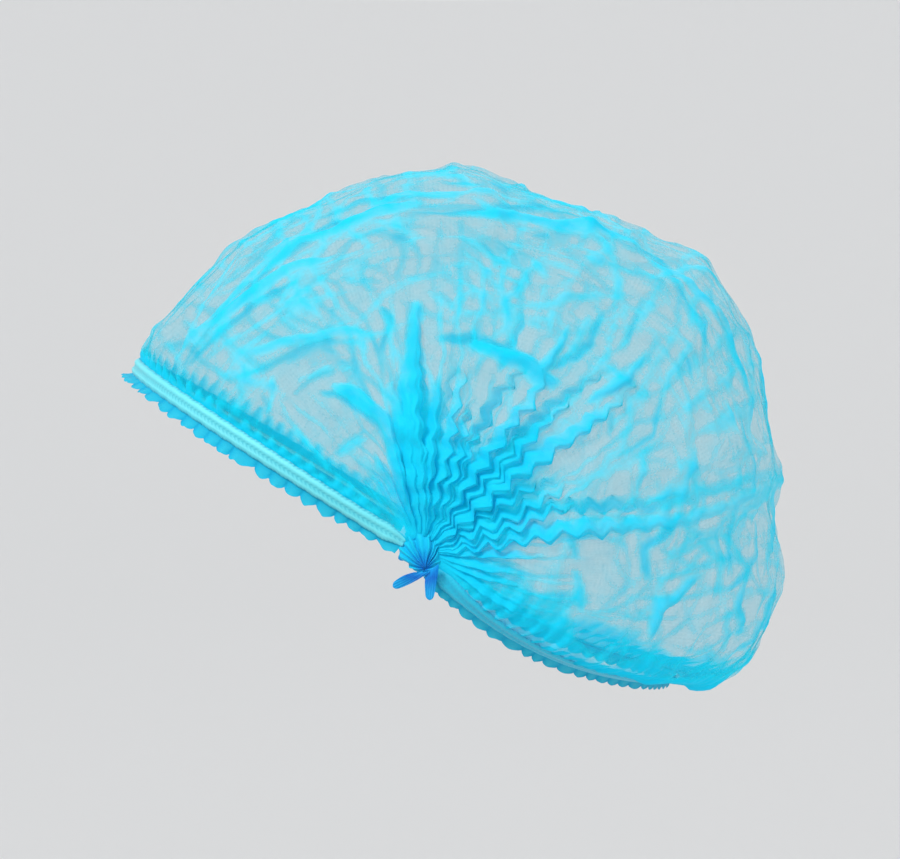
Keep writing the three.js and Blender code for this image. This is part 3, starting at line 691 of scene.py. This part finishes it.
def make_hem(which, cloth):
    """The fluted edge of doubled cloth outside an elastic."""
    edge = EDGES[which]
    points, along, out, down, distance, length = edge_frames(edge["sweep"], GATHER_RADIUS - 1)
    reach = along_table(OUTLINE, float(edge["sweep"]))
    spread = np.clip(distance / reach, 0, 1)
    depth = HEM_DEPTH_AT_GATHER + (edge["depth"] - HEM_DEPTH_AT_GATHER) * spread
    depth = depth + HEM_BELLY * np.sin(math.pi * spread)
    wander = noise(points, 13, edge["seed"])
    phase = 2 * math.pi * length / edge["pitch"] + 4.0 * wander
    within = (phase / (2 * math.pi)) % 1
    lobe = np.sqrt(1 - (2 * within - 1) ** 2)[:, None]  # 0 in the notches, and round between them
    uneven = (1 + 0.5 * noise(points, 8, edge["seed"] + 1))[:, None]
    share = np.linspace(0, 1, HEM_ROWS)[None, :]
    opened = smoothstep(0.05, 1, share)
    flute = 1.9 * edge["fluted"] * opened * uneven * (lobe - 0.7) * (0.55 + 0.45 * spread)[:, None]
    flare = HEM_FLARE * spread[:, None] * share ** 1.6
    sideways = 0.3 * opened * np.sin(phase)[:, None] * uneven
    chewed = 0.14 * opened * noise(points, 3.0, edge["seed"] + 2)[:, None]
    scallop = 1 - 0.24 * edge["fluted"] * opened * uneven * (1 - lobe) + chewed
    reach_down = HEM_TUCKED_UNDER + (depth[:, None] * scallop - HEM_TUCKED_UNDER) * share
    curl = 1 - 0.1 * share ** 4
    hem = (
        points[:, None]
        + down[:, None] * (reach_down * curl)[..., None]
        + out[:, None] * (flare + flute - 0.15)[..., None]
        + along[:, None] * sideways[..., None]
    )
    # The layers: 3.2 more in the notches, which is painted shade where the hem curves in; 2 more next to
    # the elastic, 0.9 fewer on the outer part of each lobe, and 0.5 more at the very edge.
    layers = 4.6 + 3.2 * smoothstep(0.8, 0.2, lobe) + 2.0 * smoothstep(0.5, 0.0, share)
    layers = layers - 0.9 * smoothstep(0.8, 1.0, lobe) * smoothstep(0.3, 0.8, share)
    layers = layers + 0.5 * smoothstep(0.92, 1, share)
    flat = np.stack([length[:, None] + 0 * share, reach_down, 0 * reach_down], -1)
    faces = sheet_faces(EDGE_STATIONS + 1, HEM_ROWS)
    attributes = {"layers": layers, "cut": flat, "place": hem}
    ruffle = make_piece(which + "_hem_ruffle", hem, faces, [cloth], attributes)
    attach(ruffle, "root")
    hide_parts(which + "_hem")
    return ruffle


# The gathers and their welded tails
BUNDLE_ROUND = 220
BUNDLE_RINGS = 40
BUNDLE_FLUTES = 15
WELD_PLACE = np.array([1.2, -4.6])  # back and up from the gather's middle
TAILS = {"front": dict(root=272, lean=207, length=7.6), "rear": dict(root=306, lean=265, length=7.4)}
TAIL_ROOT_WIDTH = 4.6
TAIL_TIP_WIDTH = 2.0
TAIL_STANDOFF = 2.1
TAIL_IN_BUNDLE = 1.6  # how much of a tail is inside the bundle
TAIL_ALONG = 40
TAIL_AROUND = 48


def make_bundle(side_name, side, cloth):
    """The knot of pleat ends at a gather: flutes that run together at the weld."""
    around = np.linspace(0, 2 * math.pi, BUNDLE_ROUND, endpoint=False)[None, :]
    ring = np.linspace(0, 1, BUNDLE_RINGS)[:, None]
    centre = WELD_PLACE[None, None, :] * (1 - ring[..., None])
    rim = np.stack([np.cos(around), np.sin(around)], -1) * (GATHER_RADIUS - 0.8)
    all_round = 0 * ring * around
    circle = np.stack([np.cos(around) + all_round, np.sin(around) + all_round, 5.0 * side + all_round], -1)
    uneven = noise(circle, 0.9, 301)
    flat_place = centre + rim * ring[..., None]
    bent = noise(np.concatenate([flat_place, 9.0 * side + 0 * flat_place[..., :1]], -1), 3.4, 302)
    flute = 0.7 * np.cos(BUNDLE_FLUTES * around + 5.0 * uneven + 1.6 * bent)
    flute = flute + 0.5 * np.cos(8 * around + 4.0 * uneven + 1.3 + 1.2 * bent) + 0.5 * bent
    swell = (0.04 * flute + 0.2 * uneven + 0.1 * bent)[..., None]
    place = flat_place + rim * ring[..., None] * swell * ring[..., None]
    dome = 2.3 * (1 - ring ** 3.5) ** 0.8 + 0.9 * flute * np.sqrt(ring) * (1 - 0.3 * ring)
    dome = dome + 0.7 * uneven * ring
    outer = np.stack([side * (GATHER_HALF_SPAN - 0.4 + dome), place[..., 0], place[..., 1]], -1)
    inner_dome = -2.4 * (1 - ring ** 2) ** 0.6 + 0.5 * flute * ring * (1 - ring) * 2
    inner = np.stack([side * (GATHER_HALF_SPAN - 1.0 + inner_dome), place[..., 0], place[..., 1]], -1)
    points = np.concatenate([outer, inner[::-1]])
    # Deeper colour in the valleys between the flutes and paler on their crests, following the flutes'
    # relief: painted shade and painted highlight.
    layers = np.full(points.shape[:2], 6.0) - 1.5 * np.concatenate([flute + 0 * ring, flute + 0 * ring])
    flat = np.concatenate([place, place[::-1]])
    flat = np.concatenate([flat, 0 * flat[..., :1]], -1)
    faces = sheet_faces(2 * BUNDLE_RINGS, BUNDLE_ROUND, round_columns=True)
    name = side_name + "_gather_bundle"
    melted = 0.9 * smoothstep(0.75, 0.1, np.concatenate([ring, ring[::-1]])) + 0 * layers
    attributes = {"layers": layers, "cut": flat, "place": points, "melted": melted}
    piece = make_piece(name, points, faces, [cloth], attributes)
    merge_poles(piece)
    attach(piece, "root")
    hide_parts(side_name + "_gather")
    return piece


def make_tail(side_name, side, tail_name, film):
    """One dark tail of a weld: a flat tongue of melted cloth, ribbed and a little curled."""
    tail = TAILS[tail_name]
    root, lean = math.radians(tail["root"]), math.radians(tail["lean"])
    along = np.array([math.cos(lean), math.sin(lean)])
    start = np.array([math.cos(root), math.sin(root)]) * (GATHER_RADIUS - TAIL_IN_BUNDLE)
    round_bundle = np.array([-math.sin(root), math.cos(root)])
    across_tail = np.array([-math.sin(lean), math.cos(lean)])
    share = np.linspace(0, 1, TAIL_ALONG)[:, None]
    around = np.linspace(0, 2 * math.pi, TAIL_AROUND, endpoint=False)[None, :]
    aside_way = unit(round_bundle + (across_tail - round_bundle) * share)
    width = TAIL_ROOT_WIDTH + (TAIL_TIP_WIDTH - TAIL_ROOT_WIDTH) * share ** 1.3
    tip = np.sqrt(np.clip(1 - ((share - 0.86) / 0.14).clip(0, 1) ** 2, 0.02, 1))
    aside = 0.5 * width * tip * np.cos(around)
    ribs = 0.16 * np.sin(9 * aside + 2 * share) + 0.3 * np.sin(6 * share + 1) * np.cos(around)
    thick = 0.55 * (1 - 0.4 * share) * tip * np.sin(around) + ribs * (1 - 0.3 * share)
    curl = 0.6 + 1.7 * share ** 2 + 0.35 * (aside / TAIL_ROOT_WIDTH * 2) ** 2
    place = start + along * (tail["length"] + TAIL_IN_BUNDLE) * share
    place = place[:, None, :] + aside_way[:, None, :] * aside[..., None]
    height = GATHER_HALF_SPAN + TAIL_STANDOFF + curl + thick
    points = np.stack([side * height, place[..., 0], place[..., 1]], -1)
    faces = sheet_faces(TAIL_ALONG, TAIL_AROUND, round_columns=True)
    flat = np.stack([aside, tail["length"] * share + 0 * aside, 0 * aside], -1)
    name = side_name + "_weld_tail_" + tail_name
    piece = make_piece(name, points, faces, [film], {"cut": flat, "down_tail": share + 0 * aside})
    close_ends(piece, end_rings(TAIL_ALONG, TAIL_AROUND))
    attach(piece, "root")
    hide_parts(side_name + "_weld_tab_" + tail_name)
    return piece


# Materials
THINNEST_LAYERS = 0.3
PLASTIC_IOR = 1.49


def add(tree, kind, settings=None, **links):
    """Adds a node, with its settings and what feeds each of its sockets."""
    node = tree.nodes.new(kind)
    for key, value in (settings or {}).items():
        if key in node.inputs:
            node.inputs[key].default_value = value
        else:
            setattr(node, key, value)
    for key, source in links.items():
        tree.links.new(source, node.inputs[key.replace("_", " ")])
    return node


def carried(tree, name, output="Fac"):
    """A number, or a direction, that the piece carries at each of its points."""
    return add(tree, "ShaderNodeAttribute", {"attribute_name": name}).outputs[output]


def remap(tree, value, start, end, to_start, to_end):
    """The value, drawn out so that start becomes to_start and end becomes to_end."""
    settings = {"From Min": start, "From Max": end, "To Min": to_start, "To Max": to_end}
    return add(tree, "ShaderNodeMapRange", settings, Value=value).outputs[0]


def feed(tree, node, sources):
    """Gives each numbered socket of a node its constant, or links what feeds it."""
    for index, source in sources.items():
        if isinstance(source, bpy.types.NodeSocket):
            tree.links.new(source, node.inputs[index])
        else:
            node.inputs[index].default_value = source
    return node


def reckon(tree, operation, *values):
    """One step of arithmetic on values, each a number or what feeds it."""
    node = add(tree, "ShaderNodeMath", {"operation": operation})
    return feed(tree, node, dict(enumerate(values))).outputs[0]


def blend(tree, share, first, second):
    """A mix of two colours, each a colour or what feeds it."""
    node = add(tree, "ShaderNodeMix", {"data_type": "RGBA"})
    return feed(tree, node, {0: share, 6: first, 7: second}).outputs[2]


def colour_ramp(tree, value, stops):
    """A colour for each value, from stops of a place and an sRGB hex value: first, last, then middle."""
    ramp = add(tree, "ShaderNodeValToRGB", {}, Fac=value)
    elements = ramp.color_ramp.elements
    for element, (place, hex_colour) in zip(elements, stops):
        element.position = place
        element.color = linear(hex_colour)
    for place, hex_colour in stops[2:]:
        elements.new(place).color = linear(hex_colour)
    return ramp.outputs[0]


def new_material(name):
    """A material with nothing in it yet, and its nodes."""
    material = bpy.data.materials.new(name)
    material.use_nodes = True
    material.node_tree.nodes.clear()
    return material, material.node_tree


def spunbond(name, sheer_hex, dense_hex, deep_hex, passed_by_layer, backlit, melted_hex=None):
    """Spunbond polypropylene: a felt of endless fibres, pressed together at rows of small points.
    One layer is a haze of colour, and folds and gathers are deeper in colour the more layers lie
    on each other. The surface is dull, with a faint sheen from the fibres."""
    material, tree = new_material(name)
    cut = carried(tree, "cut", "Vector")
    layers = carried(tree, "layers")

    # Sharp creases of the thin cloth, 11 mm and 5 mm apart, which turn up here and there.
    patches = carried(tree, "patches", "Vector")
    between_edges = {"feature": "DISTANCE_TO_EDGE", "Scale": 0.09}
    wide_patches = add(tree, "ShaderNodeTexVoronoi", between_edges, Vector=patches)
    wide_crease = remap(tree, wide_patches.outputs["Distance"], 0.02, 0.1, 0.5, 0.0)
    between_edges["Scale"] = 0.2
    small_patches = add(tree, "ShaderNodeTexVoronoi", between_edges, Vector=patches)
    small_crease = remap(tree, small_patches.outputs["Distance"], 0.02, 0.12, 0.3, 0.0)
    crease = reckon(tree, "ADD", wide_crease, small_crease)
    creased = reckon(tree, "MULTIPLY", crease, carried(tree, "creased"))

    # Single fibres, and the bond points, which are really 0.9 mm apart and drawn 1.5 mm apart to show.
    place = carried(tree, "place", "Vector")
    fibres = add(tree, "ShaderNodeTexNoise", {"Scale": 1.5, "Detail": 2.0, "Roughness": 0.7}, Vector=place)
    in_rows = {"voronoi_dimensions": "2D", "Scale": 0.66, "Randomness": 0.12}
    bonds = add(tree, "ShaderNodeTexVoronoi", in_rows, Vector=cut)
    bond = remap(tree, bonds.outputs["Distance"], 0.16, 0.4, 0.3, 0.0)
    strands = remap(tree, fibres.outputs["Fac"], 0.3, 0.7, -0.14, 0.14)
    laid = reckon(tree, "ADD", reckon(tree, "ADD", strands, bond), creased)
    thick = reckon(tree, "MAXIMUM", reckon(tree, "ADD", layers, laid), THINNEST_LAYERS)
    passed = reckon(tree, "POWER", passed_by_layer, thick)
    opaque = reckon(tree, "SUBTRACT", 1.0, passed)

    # Deeper colour for more layers; in the gathers' flute valleys and the hems' notches some of those
    # layers are painted shade.
    depth = remap(tree, thick, 0.8, 6.5, 0.0, 1.0)
    tint = colour_ramp(tree, depth, [(0.0, sheer_hex), (1.0, deep_hex), (0.45, dense_hex)])
    if melted_hex:
        tint = blend(tree, carried(tree, "melted"), tint, linear(melted_hex))

    rough = add(tree, "ShaderNodeBump", {"Strength": 0.3, "Distance": 0.0005}, Height=strands)
    normal = rough.outputs[0]
    dull = {"Roughness": 0.72, "IOR": PLASTIC_IOR, "Specular IOR Level": 0.2}
    dull.update({"Sheen Weight": 0.05, "Sheen Roughness": 0.5})
    lit = add(tree, "ShaderNodeBsdfPrincipled", dull, Base_Color=tint, Alpha=opaque, Normal=normal)
    through = add(tree, "ShaderNodeBsdfTranslucent", {}, Color=tint, Normal=normal)
    clear = add(tree, "ShaderNodeBsdfTransparent")
    glow = add(tree, "ShaderNodeMixShader")
    feed(tree, glow, {0: opaque, 1: clear.outputs[0], 2: through.outputs[0]})
    both = add(tree, "ShaderNodeMixShader")
    feed(tree, both, {0: backlit, 1: lit.outputs[0], 2: glow.outputs[0]})
    add(tree, "ShaderNodeOutputMaterial", {}, Surface=both.outputs[0])
    return material


def elastic_braid(name, rib_hex, shine_hex, stitch_and_shade_hex):
    """Flat elastic with polypropylene cloth pulled over it: stretched fibres lie along it, so it is
    paler and shinier than the cloth, with stitches where the two ribs meet. The stitch colour is also
    painted shade in the hollow between the ribs and on their outer edges."""
    material, tree = new_material(name)
    cut = carried(tree, "cut", "Vector")
    drawn = add(tree, "ShaderNodeMapping", {"Scale": (0.9, 4.5, 1.0)}, Vector=cut)
    grain = {"Scale": 1.0, "Detail": 5.0, "Roughness": 0.7}
    fibres = add(tree, "ShaderNodeTexNoise", grain, Vector=drawn.outputs[0]).outputs["Fac"]
    pale = blend(tree, fibres, linear(rib_hex), linear(shine_hex))

    # The stitches are in two slanting rows that meet in the middle, between the ribs. The same colour is
    # painted shade: at least a quarter of it all along the hollow there, and more on the ribs' outer
    # edges.
    parts = add(tree, "ShaderNodeSeparateXYZ", {}, Vector=cut)
    off = reckon(tree, "ABSOLUTE", parts.outputs["Y"])
    slant = reckon(tree, "MULTIPLY_ADD", off, 1.1, parts.outputs["X"])
    turns = reckon(tree, "MULTIPLY", slant, 2 * math.pi / STITCH_PITCH)
    shade = remap(tree, reckon(tree, "SINE", turns), -0.7, 0.9, 0.25, 0.6)
    stitches_and_shade_share = reckon(tree, "MULTIPLY", shade, carried(tree, "stitches_and_shade"))
    tinted = blend(tree, stitches_and_shade_share, pale, linear(stitch_and_shade_hex))

    worn = add(tree, "ShaderNodeBump", {"Strength": 0.5, "Distance": 0.0003}, Height=fibres)
    smooth = {"Roughness": 0.42, "IOR": PLASTIC_IOR, "Sheen Weight": 0.1, "Specular IOR Level": 0.4}
    lit = add(tree, "ShaderNodeBsdfPrincipled", smooth, Base_Color=tinted, Normal=worn.outputs[0])
    add(tree, "ShaderNodeOutputMaterial", {}, Surface=lit.outputs[0])
    return material


def weld_film():
    """Spunbond melted through by a hot bar: the fibres have run into a dark, half-glossy film."""
    material, tree = new_material("melted_weld_film")
    melt = {"Scale": 0.7, "Detail": 5.0, "Roughness": 0.6}
    runs = add(tree, "ShaderNodeTexNoise", melt, Vector=carried(tree, "cut", "Vector")).outputs["Fac"]
    uneven_down = reckon(tree, "MULTIPLY_ADD", runs, 0.5, carried(tree, "down_tail"))
    # Still cloth at the root, thinner towards the tip, and darkest between them.
    tint = colour_ramp(tree, uneven_down, [(0.2, "#009CE4"), (1.0, "#0694D0"), (0.55, "#0066C0")])
    uneven = add(tree, "ShaderNodeBump", {"Strength": 0.4, "Distance": 0.0003}, Height=runs)
    glossy = {"Roughness": 0.46, "IOR": PLASTIC_IOR, "Specular IOR Level": 0.2}
    lit = add(tree, "ShaderNodeBsdfPrincipled", glossy, Base_Color=tint, Normal=uneven.outputs[0])
    add(tree, "ShaderNodeOutputMaterial", {}, Surface=lit.outputs[0])
    return material


# The camera, lights and floor
CAMERA_DISTANCE = 1.5
CAMERA_LENS = 200.0
CAMERA_UP = math.radians(1.5)
FLOOR_DROP = 1.0  # in metres below the gathers, like the sizes that follow
FLOOR_PROFILE = [(2.4, 0), (3.0, 0.06), (3.5, 0.3), (3.85, 0.75), (4.0, 1.4)]  # reach and rise
FLOOR_SIDES = 96
AIR_LIGHT = 0.86
LAMP_AIM = Vector((0, 0, 0.03))
LAMPS = [
    dict(name="key", place=(0.85, -0.6, 0.9), size=0.4, power=12),
    dict(name="fill", place=(0.9, 0.9, 0.2), size=0.7, power=2),
    dict(name="back", place=(-0.9, 0.4, 0.95), size=0.5, power=5),
]


def make_camera():
    """A long lens on the cap's left side, a little above it, as in the photo."""
    low, high = cad_box
    aim = (low + high) / 2
    data = bpy.data.cameras.new("camera")
    data.lens = CAMERA_LENS
    camera = bpy.data.objects.new("camera", data)
    back = Vector((math.cos(CAMERA_UP), 0, math.sin(CAMERA_UP)))
    camera.location = aim + back * CAMERA_DISTANCE
    camera.rotation_euler = back.to_track_quat("Z", "Y").to_euler()
    bpy.context.scene.collection.objects.link(camera)
    bpy.context.scene.camera = camera


def make_lamp(name, place, size, power):
    """A round soft lamp that looks at the cap."""
    data = bpy.data.lights.new(name, "AREA")
    data.shape = "DISK"
    data.size = size
    data.energy = power
    light = bpy.data.objects.new(name, data)
    light.location = place
    light.visible_camera = False
    light.rotation_euler = (Vector(place) - LAMP_AIM).to_track_quat("Z", "Y").to_euler()
    bpy.context.scene.collection.objects.link(light)


def make_studio():
    """A pale floor that curves up into a round backdrop, under soft lamps."""
    around = np.linspace(0, 2 * math.pi, FLOOR_SIDES, endpoint=False)
    rings = []
    for reach, rise in FLOOR_PROFILE:
        height = (rise - FLOOR_DROP) / MM
        rings.append([(reach * math.cos(a) / MM, reach * math.sin(a) / MM, height) for a in around])
    faces = sheet_faces(len(rings), FLOOR_SIDES, round_columns=True)
    studio = make_piece("studio_floor", np.array(rings), faces, [])
    close_ends(studio, (np.arange(FLOOR_SIDES),))
    material, tree = new_material("matt_paper")
    paper = add(tree, "ShaderNodeBsdfDiffuse", {"Color": linear("#E8E9EA")})
    add(tree, "ShaderNodeOutputMaterial", {}, Surface=paper.outputs[0])
    studio.data.materials.append(material)
    world = bpy.data.worlds.new("studio_air")
    world.use_nodes = True
    air = world.node_tree.nodes["Background"]
    air.inputs["Color"].default_value = linear("#FFFFFF")
    air.inputs["Strength"].default_value = AIR_LIGHT
    bpy.context.scene.world = world
    for lamp in LAMPS:
        make_lamp(**lamp)


# The whole hairnet in its studio
make_camera()
make_studio()
sheer = spunbond("sheer_spunbond", "#10BED4", "#00D6EE", "#00D0F0", 0.74, 0.3)
# The fluted cloth's deeper colours are also painted shade in the hems' notches.
fluted = spunbond("fluted_spunbond", "#0CB6CC", "#00B0CC", "#00A0C6", 0.4, 0.05)
# The gathered cloth's deeper colours are also painted shade in the valleys of the gathers' flutes.
gathered = spunbond("gathered_spunbond", "#0CCCE0", "#00CCE8", "#00BCE6", 0.5, 0.1, "#0088D8")
braids = {
    # The last colour of each elastic is that of its stitches and of its painted shade.
    "front": elastic_braid("elastic_under_stretched_spunbond", "#4CC8D4", "#78DEE8", "#18A0BA"),
    "back": elastic_braid("elastic_in_gathered_spunbond", "#00AECE", "#14BEDC", "#009CC4"),
}
film = weld_film()

crown = make_crown(sheer)
for which in EDGES:
    make_elastic(which, braids[which])
    make_hem(which, fluted)
for side_name, side in (("left", 1), ("right", -1)):
    make_bundle(side_name, side, gathered)
    for tail_name in TAILS:
        make_tail(side_name, side, tail_name, film)

bpy.context.scene.view_settings.view_transform = "Standard"
